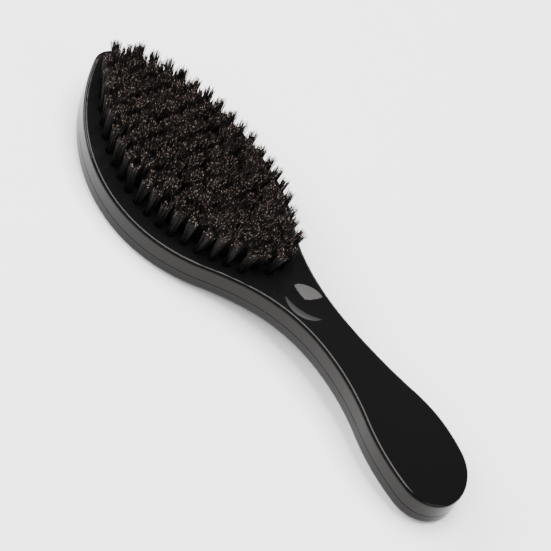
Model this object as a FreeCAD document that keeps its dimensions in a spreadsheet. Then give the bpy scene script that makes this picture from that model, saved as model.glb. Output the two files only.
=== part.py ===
import FreeCAD, Part
import os
from math import hypot, sqrt

import Sketcher

# A beard brush in real size, in millimetres.  +X points to the handle end, -X to the rounded tip of
# the head, and +Z up, the way the bristles point when the brush lies on its curved wooden back.
# Y = 0 is the plane of symmetry and Z = 0 is the surface the brush rests on.

doc = FreeCAD.newDocument("beard_brush")
os.makedirs("parts", exist_ok=True)

DIMENSIONS = {
    # Outline seen from above.  "from_end" distances run from the handle end towards the tip.
    "overall_length": 225.0,
    "handle_half_width": 16.0,
    "handle_widest_from_end": 22.5,
    "handle_side_radius": 70.0,
    "neck_half_width": 8.6,
    "neck_from_end": 76.0,
    "head_half_width": 35.4,
    "head_widest_from_end": 164.5,
    "tip_radius": 9.0,
    # Side profile: a cupped head arc that runs tangentially into an arched handle arc.
    "head_curve_radius": 262.0,
    "head_low_from_end": 158.5,
    "curve_change_from_end": 111.0,
    "handle_curve_radius": 250.0,
    "body_thickness": 13.0,
    "face_layer_thickness": 7.5,
    "face_edge_radius": 1.2,
    "back_edge_radius": 2.0,
    "seam_bevel": 0.3,
    # Thumb dimple: the shallow cap that a ball stretched along three axes leaves in the face.
    "dimple_from_end": 92.5,
    "dimple_ball_half_length": 17.0,
    "dimple_ball_half_width": 13.0,
    "dimple_ball_half_height": 8.0,
    "dimple_depth": 1.5,
    "dimple_rim_radius": 0.8,
    # Bristle tufts: rows across the head, leaning apart along the brush like rays from a line below it.
    "row_count": 20,
    "first_row_from_end": 111.5,
    "last_row_from_end": 217.0,
    "tuft_spacing": 5.4,
    "edge_margin_first": 7.0,
    "edge_margin_last": 9.5,
    "fan_centre_from_end": 157.0,
    "fan_radius": 290.0,
    "tuft_root_radius": 1.5,
    "tuft_tip_radius": 2.1,
    "tuft_length": 14.4,
    "bore_radius": 1.6,
    "bore_depth": 5.0,
    # Drawing wire: one run per row in a groove of the seam, with a leg up to every tuft.
    "wire_radius": 0.3,
    "wire_leg_radius": 0.5,
    "wire_hole_radius": 0.8,
    "groove_radius": 0.75,
    "groove_height": 0.45,
}

sheet = doc.addObject("Spreadsheet::Sheet", "Dimensions")
for row, (alias, value) in enumerate(DIMENSIONS.items(), start=1):
    sheet.set(f"A{row}", alias)
    sheet.set(f"B{row}", str(value))
    sheet.setAlias(f"B{row}", alias)
doc.recompute()


def size(alias):
    """The value of one sheet cell."""
    return float(getattr(sheet, alias))


HALF = size("overall_length") / 2
ALLOWANCE = 5.0     # how far blanks and cutters reach past the body
TOUCHING = 0.01     # a point this near to a surface lies on it
HANDLE_X = HALF - size("handle_widest_from_end")
NECK_X = HALF - size("neck_from_end")
HEAD_X = HALF - size("head_widest_from_end")
LOW_X = HALF - size("head_low_from_end")
CHANGE_X = HALF - size("curve_change_from_end")


def neck_radius(offset, drop, radius):
    """Radius of the hollow arc that leaves the neck point level and meets a bulge of the given radius,
    whose centre lies offset along the brush from the neck point and drop below it."""
    return (offset ** 2 + drop ** 2 - radius ** 2) / (2 * (radius - drop))


def outline_arcs():
    """The arcs of the half outline (Y >= 0), each as centre x, centre y and radius."""
    handle_y = size("handle_half_width") - size("handle_side_radius")
    handle = (HANDLE_X, handle_y, size("handle_side_radius"))
    reach = HALF - HANDLE_X
    end_r = (handle[2] ** 2 - reach ** 2 - handle_y ** 2) / (2 * (handle[2] - reach))
    end = (HALF - end_r, 0.0, end_r)

    tip_r = size("tip_radius")
    tip = (tip_r - HALF, 0.0, tip_r)
    head_half = size("head_half_width")
    span = HEAD_X - tip[0]
    head_r = (span ** 2 + head_half ** 2 - tip_r ** 2) / (2 * (head_half - tip_r))
    head = (HEAD_X, head_half - head_r, head_r)

    neck_y = size("neck_half_width")
    near_r = neck_radius(HANDLE_X - NECK_X, neck_y - handle[1], handle[2])
    far_r = neck_radius(HEAD_X - NECK_X, neck_y - head[1], head[2])
    near = (NECK_X, neck_y + near_r, near_r)
    far = (NECK_X, neck_y + far_r, far_r)
    return end, handle, near, far, head, tip


END, HANDLE, NECK_NEAR, NECK_FAR, HEAD, TIP = outline_arcs()


def toward(start, target, distance):
    """Point at that distance from start towards target; a negative distance leads away from it."""
    dx, dy = target[0] - start[0], target[1] - start[1]
    share = distance / hypot(dx, dy)
    return start[0] + dx * share, start[1] + dy * share


END_JOINT = toward(END, HANDLE, -END[2])
HANDLE_JOINT = toward(HANDLE, NECK_NEAR, HANDLE[2])
NECK_JOINT = (NECK_X, size("neck_half_width"))
HEAD_JOINT = toward(HEAD, NECK_FAR, HEAD[2])
TIP_JOINT = toward(TIP, HEAD, -TIP[2])


def half_width(x):
    """Half width of the outline at x."""
    if x > END_JOINT[0]:
        return sqrt(END[2] ** 2 - (x - END[0]) ** 2)
    if x > HANDLE_JOINT[0]:
        return HANDLE[1] + sqrt(HANDLE[2] ** 2 - (x - HANDLE[0]) ** 2)
    if x > NECK_X:
        return NECK_NEAR[1] - sqrt(NECK_NEAR[2] ** 2 - (x - NECK_X) ** 2)
    if x > HEAD_JOINT[0]:
        return NECK_FAR[1] - sqrt(NECK_FAR[2] ** 2 - (x - NECK_X) ** 2)
    if x > TIP_JOINT[0]:
        return HEAD[1] + sqrt(HEAD[2] ** 2 - (x - HEAD[0]) ** 2)
    return sqrt(TIP[2] ** 2 - (x - TIP[0]) ** 2)


def profile_centres(depth):
    """Centres (x, z) of the head and handle arcs of the surface lying depth below the face."""
    head_r = size("head_curve_radius")
    head = (LOW_X, size("body_thickness") - depth + head_r)
    change_z = head[1] - sqrt(head_r ** 2 - (CHANGE_X - LOW_X) ** 2)
    handle = toward((CHANGE_X, change_z), head, -size("handle_curve_radius"))
    return head, handle


def face_height(x):
    """Height of the bristle face at x."""
    head, handle = profile_centres(0.0)
    if x < CHANGE_X:
        return head[1] - sqrt(size("head_curve_radius") ** 2 - (x - head[0]) ** 2)
    return handle[1] + sqrt(size("handle_curve_radius") ** 2 - (x - handle[0]) ** 2)


def origin_plane(body, role):
    """The body's own origin plane with that role."""
    return [item for item in body.Origin.OriginFeatures if item.Role == role][0]


def new_sketch(body, name, role):
    """Empty sketch on one of the body's origin planes."""
    sketch = body.newObject("Sketcher::SketchObject", name)
    sketch.AttachmentSupport = [(origin_plane(body, role), "")]
    sketch.MapMode = "FlatFace"
    return sketch


def arc_between(centre, radius, start, stop):
    """Counter-clockwise arc from one point to another."""
    circle = Part.Circle(FreeCAD.Vector(centre[0], centre[1], 0), FreeCAD.Vector(0, 0, 1), radius)
    angles = [circle.parameter(FreeCAD.Vector(point[0], point[1], 0)) for point in (start, stop)]
    return Part.ArcOfCircle(circle, angles[0], angles[1])


def mirrored(point):
    """The point on the other side of the X axis."""
    return point[0], -point[1]


START, STOP, CENTRE = 1, 2, 3     # the points of a sketched arc or line
X_AXIS = -1                       # the sketch's own X axis, whose START is the origin


def add_rule(sketch, rule, formula=None):
    """Add one constraint; a formula binds it to the sheet."""
    index = sketch.addConstraint(rule)
    if formula:
        sketch.setExpression(f"Constraints[{index}]", formula)


def place_point(sketch, direction, geometry, point, value, formula):
    """Hold a point of the sketch at a distance from the origin, along X or Y."""
    rule = Sketcher.Constraint(direction, X_AXIS, START, geometry, point, value)
    add_rule(sketch, rule, formula)


def half_of(alias):
    """Formula for an X position given by its distance from the handle end."""
    return f"Dimensions.overall_length / 2 - Dimensions.{alias}"


def draw_outline(sketch):
    """Closed outline of ten tangent arcs, symmetric about the X axis."""
    upper = [
        (HANDLE, END_JOINT, HANDLE_JOINT),
        (NECK_NEAR, NECK_JOINT, HANDLE_JOINT),
        (NECK_FAR, HEAD_JOINT, NECK_JOINT),
        (HEAD, HEAD_JOINT, TIP_JOINT),
    ]
    end = sketch.addGeometry(arc_between(END, END[2], mirrored(END_JOINT), END_JOINT))
    tip = sketch.addGeometry(arc_between(TIP, TIP[2], TIP_JOINT, mirrored(TIP_JOINT)))
    top = [sketch.addGeometry(arc_between(arc, arc[2], start, stop)) for arc, start, stop in upper]
    low = [
        sketch.addGeometry(arc_between(mirrored(arc), arc[2], mirrored(stop), mirrored(start)))
        for arc, start, stop in upper
    ]
    handle, near, far, head = top
    low_handle, low_near, low_far, low_head = low
    joints = [
        (end, STOP, handle, START), (handle, STOP, near, STOP), (near, START, far, STOP),
        (far, START, head, START), (head, STOP, tip, START),
        (end, START, low_handle, STOP), (low_handle, START, low_near, START),
        (low_near, STOP, low_far, START), (low_far, STOP, low_head, STOP), (low_head, START, tip, STOP),
    ]
    for joint in joints:
        add_rule(sketch, Sketcher.Constraint("Tangent", *joint))

    radius = "Dimensions.handle_side_radius"
    add_rule(sketch, Sketcher.Constraint("Radius", handle, HANDLE[2]), radius)
    place_point(sketch, "DistanceX", handle, CENTRE, HANDLE[0], half_of("handle_widest_from_end"))
    place_point(sketch, "DistanceY", handle, CENTRE, HANDLE[1], f"Dimensions.handle_half_width - {radius}")
    place_point(sketch, "DistanceX", near, START, NECK_X, half_of("neck_from_end"))
    place_point(sketch, "DistanceY", near, START, NECK_JOINT[1], "Dimensions.neck_half_width")
    place_point(sketch, "DistanceX", near, CENTRE, NECK_X, half_of("neck_from_end"))

    span = "(Dimensions.overall_length - Dimensions.tip_radius - Dimensions.head_widest_from_end)"
    squares = f"({span}^2 + Dimensions.head_half_width^2 - Dimensions.tip_radius^2)"
    radius = f"({squares} / (2 * (Dimensions.head_half_width - Dimensions.tip_radius)))"
    add_rule(sketch, Sketcher.Constraint("Radius", head, HEAD[2]), radius)
    place_point(sketch, "DistanceX", head, CENTRE, HEAD[0], half_of("head_widest_from_end"))
    place_point(sketch, "DistanceY", head, CENTRE, HEAD[1], f"Dimensions.head_half_width - {radius}")

    reach = "Dimensions.handle_widest_from_end"
    drop = "(Dimensions.handle_half_width - Dimensions.handle_side_radius)"
    squares = f"(Dimensions.handle_side_radius^2 - {reach}^2 - {drop}^2)"
    radius = f"({squares} / (2 * (Dimensions.handle_side_radius - {reach})))"
    place_point(sketch, "DistanceX", end, CENTRE, END[0], f"Dimensions.overall_length / 2 - {radius}")
    place_point(sketch, "DistanceX", tip, CENTRE, TIP[0], "Dimensions.tip_radius - Dimensions.overall_length / 2")

    for one, other in ((handle, low_handle), (head, low_head)):
        add_rule(sketch, Sketcher.Constraint("Equal", one, other))
        add_rule(sketch, Sketcher.Constraint("Symmetric", one, CENTRE, other, CENTRE, X_AXIS))
    add_rule(sketch, Sketcher.Constraint("Equal", near, low_near))
    add_rule(sketch, Sketcher.Constraint("Symmetric", near, START, low_near, STOP, X_AXIS))


def draw_frame(sketch):
    """Rectangle around the outline, so that a pocket of both removes everything outside the outline."""
    x = HALF + 2 * ALLOWANCE
    y = size("head_half_width") + 2 * ALLOWANCE
    corners = [FreeCAD.Vector(a * x, b * y, 0) for a, b in ((1, 1), (-1, 1), (-1, -1), (1, -1))]
    sides = [
        sketch.addGeometry(Part.LineSegment(corner, corners[(index + 1) % 4]))
        for index, corner in enumerate(corners)
    ]
    for index, side in enumerate(sides):
        add_rule(sketch, Sketcher.Constraint("Coincident", side, STOP, sides[(index + 1) % 4], START))
        add_rule(sketch, Sketcher.Constraint("Horizontal" if index % 2 == 0 else "Vertical", side))
    add_rule(sketch, Sketcher.Constraint("Symmetric", sides[0], START, sides[2], START, X_AXIS, START))
    length = f"Dimensions.overall_length + {4 * ALLOWANCE}"
    width = f"2 * Dimensions.head_half_width + {4 * ALLOWANCE}"
    add_rule(sketch, Sketcher.Constraint("DistanceX", sides[0], STOP, sides[0], START, 2 * x), length)
    add_rule(sketch, Sketcher.Constraint("DistanceY", sides[1], STOP, sides[1], START, 2 * y), width)


def draw_band(sketch, top, bottom, top_formula, depth_formula):
    """Curved band between two depths below the face, as long as the blank."""
    left, right = -HALF - ALLOWANCE, HALF + ALLOWANCE
    head_r, handle_r = size("head_curve_radius"), size("handle_curve_radius")
    arcs = []
    for depth in (top, bottom):
        head, handle = profile_centres(depth)
        change = (CHANGE_X, head[1] - sqrt(head_r ** 2 - (CHANGE_X - head[0]) ** 2))
        left_end = (left, head[1] - sqrt(head_r ** 2 - (left - head[0]) ** 2))
        right_end = (right, handle[1] + sqrt(handle_r ** 2 - (right - handle[0]) ** 2))
        head_arc = sketch.addGeometry(arc_between(head, head_r, left_end, change))
        handle_arc = sketch.addGeometry(arc_between(handle, handle_r, right_end, change))
        add_rule(sketch, Sketcher.Constraint("Tangent", head_arc, STOP, handle_arc, STOP))
        arcs.append((head_arc, handle_arc, left_end, right_end))
    (head, handle, top_left, top_right), (low_head, low_handle, low_left, low_right) = arcs

    def line(start, stop):
        points = [FreeCAD.Vector(x, y, 0) for x, y in (start, stop)]
        return sketch.addGeometry(Part.LineSegment(*points))

    left_side = line(top_left, low_left)
    right_side = line(top_right, low_right)
    for side, upper, lower in ((left_side, head, low_head), (right_side, handle, low_handle)):
        add_rule(sketch, Sketcher.Constraint("Coincident", side, START, upper, START))
        add_rule(sketch, Sketcher.Constraint("Coincident", side, STOP, lower, START))
        add_rule(sketch, Sketcher.Constraint("Vertical", side))

    centre_z = profile_centres(top)[0][1]
    add_rule(sketch, Sketcher.Constraint("Radius", head, head_r), "Dimensions.head_curve_radius")
    add_rule(sketch, Sketcher.Constraint("Radius", handle, handle_r), "Dimensions.handle_curve_radius")
    place_point(sketch, "DistanceX", head, CENTRE, LOW_X, half_of("head_low_from_end"))
    place_point(sketch, "DistanceY", head, CENTRE, centre_z, f"{top_formula} + Dimensions.head_curve_radius")
    place_point(sketch, "DistanceX", head, STOP, CHANGE_X, half_of("curve_change_from_end"))
    place_point(sketch, "DistanceX", left_side, START, left, f"-Dimensions.overall_length / 2 - {ALLOWANCE}")
    place_point(sketch, "DistanceX", right_side, START, right, f"Dimensions.overall_length / 2 + {ALLOWANCE}")
    add_rule(sketch, Sketcher.Constraint("Equal", head, low_head))
    add_rule(sketch, Sketcher.Constraint("Equal", handle, low_handle))
    add_rule(sketch, Sketcher.Constraint("Vertical", head, CENTRE, low_head, CENTRE))
    drop = Sketcher.Constraint("DistanceY", low_head, CENTRE, head, CENTRE, bottom - top)
    add_rule(sketch, drop, depth_formula)
    add_rule(sketch, Sketcher.Constraint("Vertical", head, STOP, low_head, STOP))


def board(label, top, bottom, top_formula, depth_formula):
    """One wooden layer: a curved band across the whole width, trimmed to the outline."""
    body = doc.addObject("PartDesign::Body", label)
    profile = new_sketch(body, f"{label}_profile", "XZ_Plane")
    draw_band(profile, top, bottom, top_formula, depth_formula)
    pad = body.newObject("PartDesign::Pad", f"{label}_band")
    pad.Profile = profile
    pad.SideType = "Symmetric"
    pad.setExpression("Length", f"2 * Dimensions.head_half_width + {2 * ALLOWANCE}")
    outline = new_sketch(body, f"{label}_outline", "XY_Plane")
    draw_outline(outline)
    draw_frame(outline)
    trim = body.newObject("PartDesign::Pocket", f"{label}_trim")
    trim.Profile = outline
    trim.SideType = "Symmetric"
    trim.Type = "ThroughAll"
    doc.recompute()
    return body


def at_depth(point, depth):
    """True when the point lies that depth below the face."""
    return abs(point.z - face_height(point.x) + depth) < TOUCHING


def on_outline(point):
    """True when the point lies on the outline seen from above."""
    at_an_end = abs(point.x) > HALF - TOUCHING
    return at_an_end or abs(abs(point.y) - half_width(point.x)) < TOUCHING


def edges_where(shape, test):
    """Names of the edges whose middle passes the test."""
    names = []
    for index, edge in enumerate(shape.Edges, start=1):
        if test(edge.valueAt((edge.FirstParameter + edge.LastParameter) / 2)):
            names.append(f"Edge{index}")
    return names


def ease(body, kind, name, test, prop, alias):
    """Round or bevel the edges of the body that pass the test."""
    base = body.Tip
    feature = body.newObject(kind, name)
    feature.Base = (base, edges_where(base.Shape, test))
    feature.setExpression(prop, f"Dimensions.{alias}")
    doc.recompute()


def ease_rim(body, kind, name, depth, prop, alias):
    """Round or bevel the edge that runs round the outline at that depth."""
    ease(body, kind, name, lambda point: at_depth(point, depth) and on_outline(point), prop, alias)


def face_board():
    """Upper layer before drilling, with its rounded rim, its bevel at the seam and the thumb dimple."""
    layer = size("face_layer_thickness")
    label = "face_board"
    body = board(label, 0.0, layer, "Dimensions.body_thickness", "Dimensions.face_layer_thickness")
    ease_rim(body, "PartDesign::Fillet", "face_rim", 0.0, "Radius", "face_edge_radius")
    ease_rim(body, "PartDesign::Chamfer", "seam_edge", layer, "Size", "seam_bevel")
    cut_dimple(body)
    return body


def cut_dimple(body):
    """Thumb dimple: an ellipsoid sunk into the face and tipped to follow it, with a rounded rim."""
    ball = body.newObject("PartDesign::SubtractiveEllipsoid", "thumb_dimple")
    ball.setExpression("Radius1", "Dimensions.dimple_ball_half_height")
    ball.setExpression("Radius2", "Dimensions.dimple_ball_half_length")
    ball.setExpression("Radius3", "Dimensions.dimple_ball_half_width")
    x = HALF - size("dimple_from_end")
    _, handle = profile_centres(0.0)
    across, up = x - handle[0], face_height(x) - handle[1]
    lift = (size("dimple_ball_half_height") - size("dimple_depth")) / hypot(across, up)
    centre = FreeCAD.Vector(x + across * lift, 0, face_height(x) + up * lift)
    tip = FreeCAD.Rotation(FreeCAD.Vector(0, 0, 1), FreeCAD.Vector(across, 0, up))
    ball.AttachmentOffset = FreeCAD.Placement(centre, tip)
    ball.AttachmentSupport = [(origin_plane(body, "XY_Plane"), "")]
    ball.MapMode = "FlatFace"
    doc.recompute()

    def on_rim(point):
        near = hypot(point.x - x, point.y) < size("dimple_ball_half_length")
        return near and at_depth(point, 0.0) and not on_outline(point)

    ease(body, "PartDesign::Fillet", "dimple_rim", on_rim, "Radius", "dimple_rim_radius")


def back_cover():
    """Lower layer, glued under the face block and softly rounded at the back."""
    layer, full = size("face_layer_thickness"), size("body_thickness")
    top_formula = "(Dimensions.body_thickness - Dimensions.face_layer_thickness)"
    body = board("back_cover", layer, full, top_formula, top_formula)
    ease_rim(body, "PartDesign::Fillet", "back_rim", full, "Radius", "back_edge_radius")
    return body


def row_positions():
    """X of every row, so that the outer tufts stand at equal steps along the edge of the head."""
    first, last = HALF - size("first_row_from_end"), HALF - size("last_row_from_end")
    samples = 400
    xs = [first + (last - first) * index / samples for index in range(samples + 1)]
    lengths = [0.0]
    for near, far in zip(xs, xs[1:]):
        lengths.append(lengths[-1] + hypot(far - near, half_width(far) - half_width(near)))
    count = int(size("row_count"))
    steps = [lengths[-1] * number / (count - 1) for number in range(count)]
    return [min(zip(lengths, xs), key=lambda pair: abs(pair[0] - step))[1] for step in steps]


class Row:
    """One row of tufts across the head."""

    def __init__(self, number, x):
        self.number = number
        self.x = x
        self.lean = (x - HALF + size("fan_centre_from_end")) / size("fan_radius")
        self.direction = FreeCAD.Vector(self.lean, 0, 1)
        share = number / (size("row_count") - 1)
        margin = size("edge_margin_first") * (1 - share) + size("edge_margin_last") * share
        span = half_width(x) - margin
        gaps = round(2 * span / size("tuft_spacing"))
        self.places = [span * (2 * index / gaps - 1) for index in range(gaps + 1)]
        if number == 0:
            self.places = self.places[1:-1]     # the field of tufts is rounded off towards the neck
        if number == size("row_count") - 1:
            self.places = [0.0]                 # and closes with a single tuft at the tip
        seam_x = x - size("face_layer_thickness") * self.lean
        seam_z = face_height(seam_x) - size("face_layer_thickness")
        self.wire_depth = face_height(x) - seam_z - size("groove_height")

    def point(self, y, depth):
        """Point on the axis of the tuft at y, that depth below the face."""
        return FreeCAD.Vector(self.x, y, face_height(self.x)) - self.direction * depth

    def rod(self, y, radius, low, high):
        """Cylinder round a tuft axis between two depths."""
        start, stop = self.point(y, low), self.point(y, high)
        return Part.makeCylinder(radius, (stop - start).Length, start, self.direction)

    def wire_run(self, radius, overrun):
        """Cylinder along the seam under the whole row."""
        start = self.point(self.places[0] - overrun, self.wire_depth)
        length = self.places[-1] - self.places[0] + 2 * overrun
        return Part.makeCylinder(radius, length, start, FreeCAD.Vector(0, 1, 0))


ROWS = [Row(number, x) for number, x in enumerate(row_positions())]


def fixed_part(label, shape):
    """Sub-part whose shape is worked out here from the sheet."""
    item = doc.addObject("Part::Feature", label)
    item.Shape = shape
    item.Placement = FreeCAD.Placement()
    return item


def drilling():
    """Everything drilled or milled out of the face board: bores, wire holes and wire grooves."""
    through = size("face_layer_thickness") + size("groove_radius")
    tools = []
    for row in ROWS:
        for y in row.places:
            tools.append(row.rod(y, size("bore_radius"), size("bore_depth"), -ALLOWANCE))
            tools.append(row.rod(y, size("wire_hole_radius"), through, size("bore_depth")))
        tools.append(row.wire_run(size("groove_radius"), size("groove_radius")))
    return fixed_part("drilling", Part.makeCompound(tools))


def tuft(row, y):
    """Bundle of bristles: straight in its bore, spreading above the face."""
    root = row.rod(y, size("tuft_root_radius"), size("bore_depth"), 0.0)
    base = row.point(y, 0.0)
    spread = Part.makeCone(
        size("tuft_root_radius"), size("tuft_tip_radius"), size("tuft_length"), base, row.direction
    )
    return root.fuse(spread).removeSplitter()


def drawing_wire(row):
    """Wire under one row, with a leg up to the folded root of every tuft."""
    wire = row.wire_run(size("wire_radius"), size("wire_radius"))
    foot = row.wire_depth + size("wire_radius") / 2     # the leg takes in the wire's own middle
    legs = [row.rod(y, size("wire_leg_radius"), foot, size("bore_depth")) for y in row.places]
    return wire.multiFuse(legs)


face = face_board()
cover = back_cover()
block = doc.addObject("Part::Cut", "face_block")
block.Base = face
block.Tool = drilling()
doc.recompute()

parts = [block, cover]
for row in ROWS:
    tufts = Part.makeCompound([tuft(row, y) for y in row.places])
    parts.append(fixed_part(f"tuft_row_{row.number + 1:02d}", tufts))
    parts.append(fixed_part(f"drawing_wire_{row.number + 1:02d}", drawing_wire(row)))
doc.recompute()

for item in doc.Objects:
    bad = [state for state in item.State if state in ("Invalid", "Error")]
    if bad:
        raise RuntimeError(f"{item.Label}: {bad}")
for item in parts:
    shape = item.Shape
    if shape.isNull() or not shape.isValid():
        raise RuntimeError(f"{item.Label} has no valid shape")
    shape.exportStep(f"parts/{item.Label}.step")
    print(item.Label, len(shape.Solids), "solids", round(shape.Volume, 1), "mm3")
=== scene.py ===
# %% [markdown]
# # A beard brush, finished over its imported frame
#
# The frame is the brush as it is made: two curved wooden layers, the drawing wires in the seam and a
# plain rod for every tuft.  This lesson gives the wood its black lacquer, swaps the rods for real
# bundles of boar bristle, and puts the brush on a pale table in soft studio light.
# Everything is in metres; +X is the handle end, +Z is the way the bristles point.

# %% Load the frame
import math
import random

import bpy
from mathutils import Matrix, Vector


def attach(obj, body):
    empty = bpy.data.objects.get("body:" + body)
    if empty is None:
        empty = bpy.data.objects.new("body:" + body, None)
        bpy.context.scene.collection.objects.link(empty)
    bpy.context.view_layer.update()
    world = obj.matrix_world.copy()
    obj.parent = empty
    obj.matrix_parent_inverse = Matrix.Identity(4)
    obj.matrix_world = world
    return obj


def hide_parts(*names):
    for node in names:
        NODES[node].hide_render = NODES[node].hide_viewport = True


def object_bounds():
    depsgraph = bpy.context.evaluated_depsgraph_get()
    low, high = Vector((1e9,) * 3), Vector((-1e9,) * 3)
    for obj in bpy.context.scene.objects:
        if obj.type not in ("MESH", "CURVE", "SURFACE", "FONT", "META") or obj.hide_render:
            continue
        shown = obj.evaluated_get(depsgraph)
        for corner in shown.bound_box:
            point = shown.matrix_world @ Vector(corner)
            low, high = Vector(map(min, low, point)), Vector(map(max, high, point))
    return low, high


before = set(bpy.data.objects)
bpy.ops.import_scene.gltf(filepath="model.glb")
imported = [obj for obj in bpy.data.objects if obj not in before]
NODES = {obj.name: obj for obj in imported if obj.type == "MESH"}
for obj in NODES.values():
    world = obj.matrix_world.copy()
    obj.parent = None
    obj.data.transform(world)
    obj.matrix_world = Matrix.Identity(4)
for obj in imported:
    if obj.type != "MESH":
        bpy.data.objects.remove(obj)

CAD_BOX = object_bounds()
MM = 0.001
print("frame:", len(NODES), "nodes, box", [round(v, 4) for corner in CAD_BOX for v in corner])


# %% [markdown]
# ## A small kit for shader maths
#
# A finish is a graph of shader nodes.  Wiring dozens of Math nodes by hand hides the idea, so `Socket`
# wraps one output and lets Python's own `+ - *` add the nodes.  The alternative, placing each node and
# link by name, is what the editor does; here the expression reads like the formula it makes.  `Paint`
# holds one material and the few kinds of node that the finishes share.

# %% Shader maths as Python expressions
class Socket:
    """One shader output on which Python arithmetic adds Math nodes."""

    def __init__(self, paint, output):
        self.paint = paint
        self.output = output

    def math(self, operation, *values):
        return self.paint.node("ShaderNodeMath", {"operation": operation}, list(values))

    def __add__(self, other):
        return self.math("ADD", self, other)

    def __sub__(self, other):
        return self.math("SUBTRACT", self, other)

    def __mul__(self, other):
        return self.math("MULTIPLY", self, other)

    def above(self, low, high):
        """0 below low, 1 above high, a smooth step between."""
        settings = {"interpolation_type": "SMOOTHSTEP"}
        return self.paint.node("ShaderNodeMapRange", settings, {0: self, 1: low, 2: high})

    __radd__ = __add__


class Paint:
    """A material and the short calls that build its graph."""

    def __init__(self, name):
        self.material = bpy.data.materials.new(name)
        self.material.use_nodes = True
        self.tree = self.material.node_tree
        self.shader = self.tree.nodes["Principled BSDF"]

    def node(self, kind, settings=None, values=None, out=0):
        """Add a node: its settings first, then values or links for its inputs."""
        node = self.tree.nodes.new(kind)
        for key, value in (settings or {}).items():
            setattr(node, key, value)
        pairs = values.items() if isinstance(values, dict) else enumerate(values or [])
        for key, value in pairs:
            self.feed(node.inputs[key], value)
        return Socket(self, node.outputs[out])

    def feed(self, socket, value):
        if isinstance(value, Socket):
            self.tree.links.new(value.output, socket)
        else:
            socket.default_value = value

    def set(self, **values):
        """Feed the Principled shader's own sockets: Base_Color=..., Roughness=..."""
        for name, value in values.items():
            self.feed(self.shader.inputs[name.replace("_", " ")], value)

    def place(self, scale=(1.0, 1.0, 1.0)):
        """Object coordinates, stretched by scale."""
        spot = self.node("ShaderNodeTexCoord", out="Object")
        return self.node("ShaderNodeMapping", {}, {"Vector": spot, "Scale": scale})

    def noise(self, spot, scale, detail=3.0, roughness=0.5):
        values = {"Vector": spot, "Scale": scale, "Detail": detail, "Roughness": roughness}
        return self.node("ShaderNodeTexNoise", {}, values, out="Fac")

    def blend(self, factor, first, second):
        """Mix two colours."""
        return self.node("ShaderNodeMix", {"data_type": "RGBA"}, {0: factor, 6: first, 7: second}, out=2)

    def bump(self, height, strength, distance):
        values = {"Height": height, "Strength": strength, "Distance": distance}
        return self.node("ShaderNodeBump", {}, values, out="Normal")


# %% [markdown]
# ## Black lacquer
#
# The body is beech under several sprayed coats of black lacquer, polished to a deep gloss.  Almost no
# light comes back from the pigment, so the base colour is close to zero and what the eye reads is the
# mirror image of the room.  A flat value would look like moulded plastic.  Here the ground drifts a
# little towards brown with the wood under it, and the gloss carries the slow waviness of sprayed
# paint, fine dust nibs, and the dulled and finely scratched patches that hands leave.  The refractive
# index is set below that of hard lacquer, so the bright table turns the side wall only a dark grey.

# %% The lacquer finish
def black_lacquer():
    paint = Paint("black_lacquer")
    spot = paint.place()
    drift = paint.noise(spot, 26.0, 4.0)
    grain = paint.noise(paint.place((1.0, 14.0, 14.0)), 90.0, 5.0, 0.6)
    ground = paint.blend(drift, (0.0028, 0.0028, 0.0030, 1), (0.0042, 0.0039, 0.0038, 1))
    ground = paint.blend(grain.above(0.62, 0.80) * 0.35, ground, (0.0075, 0.0066, 0.006, 1))

    wear = paint.noise(spot, 60.0, 6.0, 0.62).above(0.50, 0.72)
    scratches = paint.noise(paint.place((9.0, 55.0, 55.0)), 45.0, 2.0, 0.7).above(0.66, 0.74)
    nibs = paint.noise(spot, 1500.0, 1.0).above(0.74, 0.80)
    paint.set(Base_Color=ground, Roughness=0.05 + wear * 0.05)
    paint.set(IOR=1.245, Specular_Tint=(1.0, 0.95, 0.91, 1))

    swell = paint.noise(spot, 70.0, 2.0) + paint.noise(spot, 420.0, 2.0) * 0.06
    relief = swell + nibs * 0.04 - scratches * 0.01
    paint.set(Normal=paint.bump(relief, 0.05, 0.0005))
    return paint.material


LACQUER = black_lacquer()
for name in ("face_block", "back_cover"):
    for socket in NODES[name].material_slots:
        socket.material = LACQUER
print("lacquered:", LACQUER.name, "with", len(LACQUER.node_tree.nodes), "nodes")


# %% [markdown]
# ## Drawn wire
#
# The wires lie in the seam and only a cut-open brush would show them.  They are drawn stainless wire,
# so the finish is a bright metal with fine lines along its length.

# %% The wire finish
def drawn_wire():
    paint = Paint("drawn_wire")
    lines = paint.noise(paint.place((40.0, 1.0, 40.0)), 120.0, 2.0)
    tone = paint.blend(lines, (0.42, 0.42, 0.43, 1), (0.62, 0.62, 0.61, 1))
    paint.set(Base_Color=tone, Metallic=1.0, Roughness=0.25 + lines * 0.2)
    paint.set(Normal=paint.bump(lines, 0.2, 0.00002))
    return paint.material


WIRE = drawn_wire()
WIRE_NODES = [name for name in NODES if name.startswith("drawing_wire")]
for name in WIRE_NODES:
    for socket in NODES[name].material_slots:
        socket.material = WIRE
print("bright wire:", len(WIRE_NODES), "runs")
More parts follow.
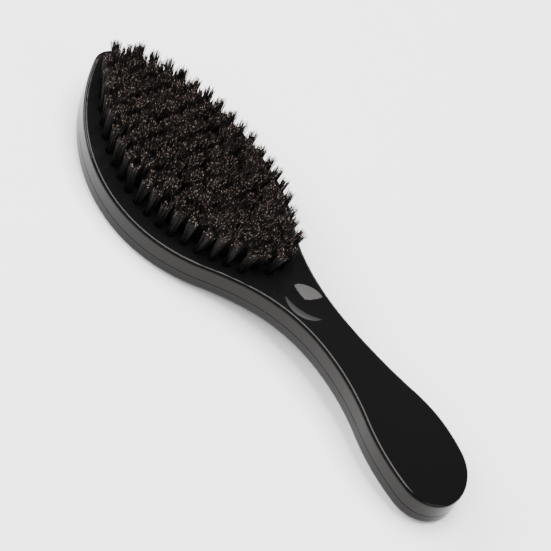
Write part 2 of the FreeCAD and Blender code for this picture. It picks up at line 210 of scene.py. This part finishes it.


# %% [markdown]
# ## Boar bristle, the finish
#
# A boar bristle is dark and translucent at the root and pales to brown towards its split tip, and no
# two are quite alike.  Its darkening towards the root is partly that own colour and partly painted
# shade, for the shadow that falls deep among the tufts.  The colour has to follow each bristle, so it is
# painted by two numbers stored on the mesh: `along`, 0 at the root and 1 at the tip, and `shade`, one
# random value per bristle.

# %% The bristle finish
def boar_bristle():
    paint = Paint("boar_bristle")
    along = paint.node("ShaderNodeAttribute", {"attribute_name": "along"}, out="Fac")
    shade = paint.node("ShaderNodeAttribute", {"attribute_name": "shade"}, out="Fac")
    root = (0.0035, 0.0032, 0.0031, 1)
    shaft = paint.blend(shade, (0.007, 0.0064, 0.0063, 1), (0.019, 0.0168, 0.0154, 1))
    # Darker towards the root: partly the bristle's own colour, partly painted shade among the tufts.
    shaft = paint.blend(along.above(0.50, 1.0), root, shaft)
    tip = paint.blend(shade.above(0.30, 0.70), (0.013, 0.012, 0.012, 1), (0.050, 0.0415, 0.037, 1))
    tip = paint.blend(shade.above(0.77, 0.84), tip, (0.34, 0.238, 0.195, 1))
    tip = paint.blend(shade.above(0.955, 0.965), tip, (0.60, 0.50, 0.45, 1))
    streak = paint.noise(paint.place((1.0, 1.0, 0.15)), 2500.0, 2.0)
    colour = paint.blend(along.above(0.95, 1.0) * (0.7 + streak * 0.4), shaft, tip)
    paint.set(Base_Color=colour, Roughness=0.42 + shade * 0.16, IOR=1.2)
    paint.set(Normal=paint.bump(streak, 0.3, 0.00003))
    return paint.material


BRISTLE_FINISH = boar_bristle()
print("bristle finish:", len(BRISTLE_FINISH.node_tree.nodes), "nodes")


# %% [markdown]
# ## One bristle
#
# A bristle is a stiff, slightly bowed rod that tapers to its tip.  A curve with a bevel would do, but a
# mesh keeps the face count in hand, and there are thousands of them.  A three-sided cylinder is added
# as the root and its top face is extruded four times, each time a little thinner and further to one
# side, which gives the bow.

# %% Model one bristle
def pick(obj, test):
    """In edit mode, select only the faces that pass the test."""
    bpy.ops.mesh.select_all(action="DESELECT")
    bpy.ops.object.mode_set(mode="OBJECT")
    for face in obj.data.polygons:
        face.select = test(face)
    bpy.ops.object.mode_set(mode="EDIT")


BRISTLE_LENGTH = 1.0          # modelled with unit length, and stretched to size when it is set
BRISTLE_RADIUS = 0.16 * MM
ROOT_SHARE = 0.30             # the straight root, as a share of the length
STEPS = 4                     # pieces of the bowed part
BOW = 0.38 * MM               # sideways drift of the tip
TAPER = 0.92                  # each piece's top against its foot
TIP_TAPER = 0.75              # and the last piece's


def model_bristle():
    bpy.ops.object.select_all(action="DESELECT")
    bpy.ops.mesh.primitive_cylinder_add(
        vertices=3, radius=BRISTLE_RADIUS, depth=ROOT_SHARE, end_fill_type="NGON",
        location=(0, 0, ROOT_SHARE / 2),
    )
    bristle = bpy.context.object
    bristle.name = "bristle"
    bpy.ops.object.transform_apply(location=True)
    bpy.ops.object.mode_set(mode="EDIT")
    bpy.ops.mesh.select_mode(type="FACE")
    pick(bristle, lambda face: face.normal.z > 0.9)
    rise = (BRISTLE_LENGTH - ROOT_SHARE) / STEPS
    for step in range(STEPS):
        drift = BOW * (2 * step + 1) / STEPS ** 2
        bpy.ops.mesh.extrude_region_move(TRANSFORM_OT_translate={"value": (drift, 0, rise)})
        taper = TAPER if step < STEPS - 1 else TIP_TAPER
        bpy.ops.transform.resize(value=(taper, taper, 1))
    bpy.ops.object.mode_set(mode="OBJECT")
    along = bristle.data.attributes.new("along", "FLOAT", "POINT")
    along.data.foreach_set("value", [vertex.co.z for vertex in bristle.data.vertices])
    bristle.data.attributes.new("shade", "FLOAT", "POINT")
    return bristle


BRISTLE = model_bristle()
print("bristle:", len(BRISTLE.data.polygons), "faces")


# %% [markdown]
# ## Where the tufts stand
#
# The frame has a plain rod for every tuft, so the places are read from it and never typed in: each row
# is one node, its rods stand apart across the brush, and the lowest and highest ring of a rod give its
# axis.

# %% Read the tuft axes from the frame
RING = 0.8 * MM               # a tilted end ring reaches this far in height
GAP = 0.5 * MM                # points further apart than this across the brush are on two rods


def end_centre(points, top):
    """Centre of a rod's highest or lowest ring."""
    limit = max(p.z for p in points) - RING if top else min(p.z for p in points) + RING
    ring = [p for p in points if (p.z >= limit if top else p.z <= limit)]
    return Vector((min(p.x for p in ring) + max(p.x for p in ring),
                   min(p.y for p in ring) + max(p.y for p in ring),
                   min(p.z for p in ring) + max(p.z for p in ring))) / 2


def tuft_axes(node):
    """(root, tip) of every rod in a row, from one side of the brush to the other."""
    points = sorted((vertex.co.copy() for vertex in node.data.vertices), key=lambda p: p.y)
    rods = [[points[0]]]
    for before, point in zip(points, points[1:]):
        if point.y - before.y > GAP:
            rods.append([])
        rods[-1].append(point)
    return [(end_centre(rod, False), end_centre(rod, True)) for rod in rods]


ROWS = {name: tuft_axes(node) for name, node in sorted(NODES.items()) if name.startswith("tuft_row")}
print("tufts:", sum(len(axes) for axes in ROWS.values()), "in", len(ROWS), "rows")


# %% [markdown]
# ## Bundles of bristle
#
# Each tuft is a bundle folded into one bore.  Its bristles leave the bore packed tight and lean apart,
# the outer ones most.  A particle system would scatter them, but real copies export and keep the same
# shape every time.  A handful of different bundles is made from copies of the one bristle, and every
# tuft is a copy of one of them, turned a random way, so no two neighbours match.  There are two kinds:
# full ones for the field, where the tips close up into one surface, and slimmer ones for the row ends,
# where daylight shows between the tufts.

# %% Make the bundles
BORE = 5.0 * MM               # how deep the rods reach below the face
SUNK = 2.2 * MM               # how far down the bore the visible bristles start
ROOT_SPREAD = 1.2 * MM        # radius of a bundle where it starts, inside a bore of 1.6 mm
FIELD = {"spread": 2.7 * MM, "bristles": 115, "lengths": (0.90, 1.03)}
ROW_END = {"spread": 1.75 * MM, "bristles": 64, "lengths": (0.89, 1.02)}
BUNDLES = 8                   # of each kind
GOLDEN_TURN = 2.39996         # radians from one root to the next, which fills the bore evenly
TURN_SLIP = 0.3               # radians a root slips round from its even place
FLARE = (0.4, 1.5)            # how far a bristle leans out, against the even spread
STRAY = 0.19                  # how far a tip strays, as a share of the tuft's spread
BOW_TURN = 0.9                # radians a bristle's bow turns away from straight outward
THICKNESS = (0.8, 1.15)       # against the one bristle


def bundle(number, height, kind):
    """One tuft standing on the origin, pointing up."""
    chance = random.Random(number)
    spread = kind["spread"]
    copies = []
    for index in range(kind["bristles"]):
        mesh = BRISTLE.data.copy()
        ring = math.sqrt((index + 0.5) / kind["bristles"])
        turn = index * GOLDEN_TURN + chance.uniform(-TURN_SLIP, TURN_SLIP)
        root = Vector((math.cos(turn), math.sin(turn), 0)) * ring * ROOT_SPREAD
        out = ring * (spread - ROOT_SPREAD) * chance.uniform(*FLARE)
        tip = root + Vector((math.cos(turn), math.sin(turn), 0)) * out
        tip += Vector((chance.gauss(0, STRAY), chance.gauss(0, STRAY), 0)) * spread
        reach = (height + SUNK) * chance.uniform(*kind["lengths"])
        tip.z = reach
        axis = (tip - root).normalized()
        lean = Vector((0, 0, 1)).rotation_difference(axis).to_matrix().to_4x4()
        spin = Matrix.Rotation(turn + chance.gauss(0, BOW_TURN), 4, "Z")
        thick = chance.uniform(*THICKNESS)
        size = Matrix.Diagonal((thick, thick, reach, 1))
        mesh.transform(Matrix.Translation(root) @ lean @ spin @ size)
        shade = chance.random()
        mesh.attributes["shade"].data.foreach_set("value", [shade] * len(mesh.vertices))
        copies.append(bpy.data.objects.new("bristle_copy", mesh))
    return join(copies, f"bundle_{number}")


def join(objects, name):
    """Join objects into one and give it a name."""
    bpy.ops.object.select_all(action="DESELECT")
    for obj in objects:
        if obj.name not in bpy.context.scene.collection.objects:
            bpy.context.scene.collection.objects.link(obj)
        obj.select_set(True)
    bpy.context.view_layer.objects.active = objects[0]
    bpy.ops.object.join()
    objects[0].name = name
    objects[0].data.name = name
    return objects[0]


first_root, first_tip = next(iter(ROWS.values()))[0]
TUFT_HEIGHT = (first_tip - first_root).length - BORE
FIELD_BUNDLES = [bundle(100 + number, TUFT_HEIGHT, FIELD) for number in range(BUNDLES)]
END_BUNDLES = [bundle(200 + number, TUFT_HEIGHT, ROW_END) for number in range(BUNDLES)]
print("bundles:", 2 * BUNDLES, "standing", round(TUFT_HEIGHT / MM, 1), "mm")


# %% [markdown]
# ## Set the tufts in their rows
#
# Every rod of the frame is replaced by one bundle, laid along the rod's own axis.  The bundles of a row
# are joined, so a row stays one piece, as in the frame.

# %% Plant the rows
SWAY = 0.035                  # how far a tuft leans out of true, as a slope
GROWTH = (0.94, 1.03)         # a tuft's height against the frame's rod


def plant(name, axes, chance):
    """Replace one row of rods by bundles."""
    tufts = []
    for place, (root, tip) in enumerate(axes):
        at_end = place in (0, len(axes) - 1)
        mesh = chance.choice(END_BUNDLES if at_end else FIELD_BUNDLES).data.copy()
        axis = (tip - root).normalized()
        start = root + axis * (BORE - SUNK)
        axis += Vector((chance.gauss(0, SWAY), chance.gauss(0, SWAY), 0))
        lean = Vector((0, 0, 1)).rotation_difference(axis).to_matrix().to_4x4()
        spin = Matrix.Rotation(chance.uniform(0, math.tau), 4, "Z")
        grow = Matrix.Diagonal((1, 1, chance.uniform(*GROWTH), 1))
        mesh.transform(Matrix.Translation(start) @ lean @ spin @ grow)
        tufts.append(bpy.data.objects.new("tuft", mesh))
    row = join(tufts, f"bristle_{name}")
    row.data.materials.clear()
    row.data.materials.append(BRISTLE_FINISH)
    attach(row, "root")
    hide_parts(name)
    return row


chance = random.Random(7)
BRISTLE_ROWS = [plant(name, axes, chance) for name, axes in ROWS.items()]
for pattern in FIELD_BUNDLES + END_BUNDLES + [BRISTLE]:
    bpy.data.objects.remove(pattern)
triangles = sum(len(face.vertices) - 2 for row in BRISTLE_ROWS for face in row.data.polygons)
print("bristle rows:", len(BRISTLE_ROWS), "with", triangles, "triangles")


# %% [markdown]
# ## The table
#
# The brush lies on a plain pale table.  It is matt and almost white, wide enough that no edge shows in
# a low view, and a faint fleck keeps it from looking like an empty page.

# %% Table
TABLE_WIDTH = 12.0


def table():
    bpy.ops.object.select_all(action="DESELECT")
    bpy.ops.mesh.primitive_plane_add(size=TABLE_WIDTH, location=(0, 0, CAD_BOX[0][2]))
    top = bpy.context.object
    top.name = "table_top"
    paint = Paint("pale_table")
    fleck = paint.noise(paint.place(), 40.0, 3.0)
    paint.set(Base_Color=paint.blend(fleck, (0.86, 0.86, 0.86, 1), (0.88, 0.88, 0.88, 1)), Roughness=0.9)
    top.data.materials.append(paint.material)
    return top


table()
print("table:", TABLE_WIDTH, "m wide, top at", round(CAD_BOX[0][2], 4))


# %% [markdown]
# ## Light
#
# Gloss black shows nothing but reflections, so the light is built for what the lacquer mirrors.  A
# level panel overhead draws the line along the rounded rim and the bright patch in the thumb dimple; it
# stops short of the place that the flat face mirrors, which keeps the face black.  A low panel behind
# catches the dimple's near wall.  Panels to the side and the end light the table, which fills the side
# wall, and a fill in front, hidden from reflections, softens the shadow.

# %% Light
AIR = 0.14                    # strength of the even light from all round


def panel(name, place, size, power, turn=None):
    """A rectangular soft light that faces the brush, or hangs level when it is given a turn."""
    light = bpy.data.lights.new(name, "AREA")
    light.shape = "RECTANGLE"
    light.size, light.size_y = size
    light.energy = power
    lamp = bpy.data.objects.new(name, light)
    bpy.context.scene.collection.objects.link(lamp)
    lamp.location = place
    if turn is None:
        lamp.rotation_euler = (-Vector(place)).to_track_quat("-Z", "Y").to_euler()
    else:
        lamp.rotation_euler = (0, 0, math.radians(turn))
    return lamp


def studio():
    world = bpy.data.worlds.new("studio_air")
    bpy.context.scene.world = world
    world.use_nodes = True
    air = world.node_tree.nodes["Background"]
    air.inputs["Color"].default_value = (1, 1, 1, 1)
    air.inputs["Strength"].default_value = AIR
    panel("overhead_panel", (-0.08, 0.18, 1.2), (1.1, 0.87), 47.0, turn=-12)
    panel("back_panel", (-0.9, 2.2, 0.5), (3.0, 1.0), 22.0)
    fill = panel("front_panel", (-0.3, -1.5, 1.5), (2.0, 1.0), 62.0)
    fill.visible_glossy = False
    panel("side_panel", (-1.9, -0.6, 1.2), (1.6, 0.8), 75.0)
    panel("end_panel", (1.7, 0.3, 1.2), (1.2, 0.8), 9.0)


studio()


# %% [markdown]
# ## Camera
#
# The camera looks down on the brush from the near side, a little towards the handle, and is rolled so
# that the handle runs to the lower right.  A long lens from 0.8 m away keeps the head and the handle in
# true proportion.  Its place and the way it looks are given outright, because aiming it at a point
# would leave its roll open.

# %% Camera
EYE = Vector((248.0, -459.8, 605.1)) * MM
LOOK = Vector((-0.3114, 0.5845, -0.7493)).normalized()
HEAD_UP = Vector((-0.7365, 0.3497, 0.579))
LENS = 136.3                  # millimetres
SENSOR = 36.0                 # millimetres


def camera():
    back = -LOOK
    right = HEAD_UP.cross(back).normalized()
    turn = Matrix((right, back.cross(right), back)).transposed().to_4x4()
    data = bpy.data.cameras.new("camera")
    data.lens = LENS
    data.sensor_width = SENSOR
    view = bpy.data.objects.new("camera", data)
    bpy.context.scene.collection.objects.link(view)
    view.matrix_world = Matrix.Translation(EYE) @ turn
    bpy.context.scene.camera = view
    return view


camera()
print("camera:", round(EYE.length, 3), "m from the origin, lens", LENS, "mm")
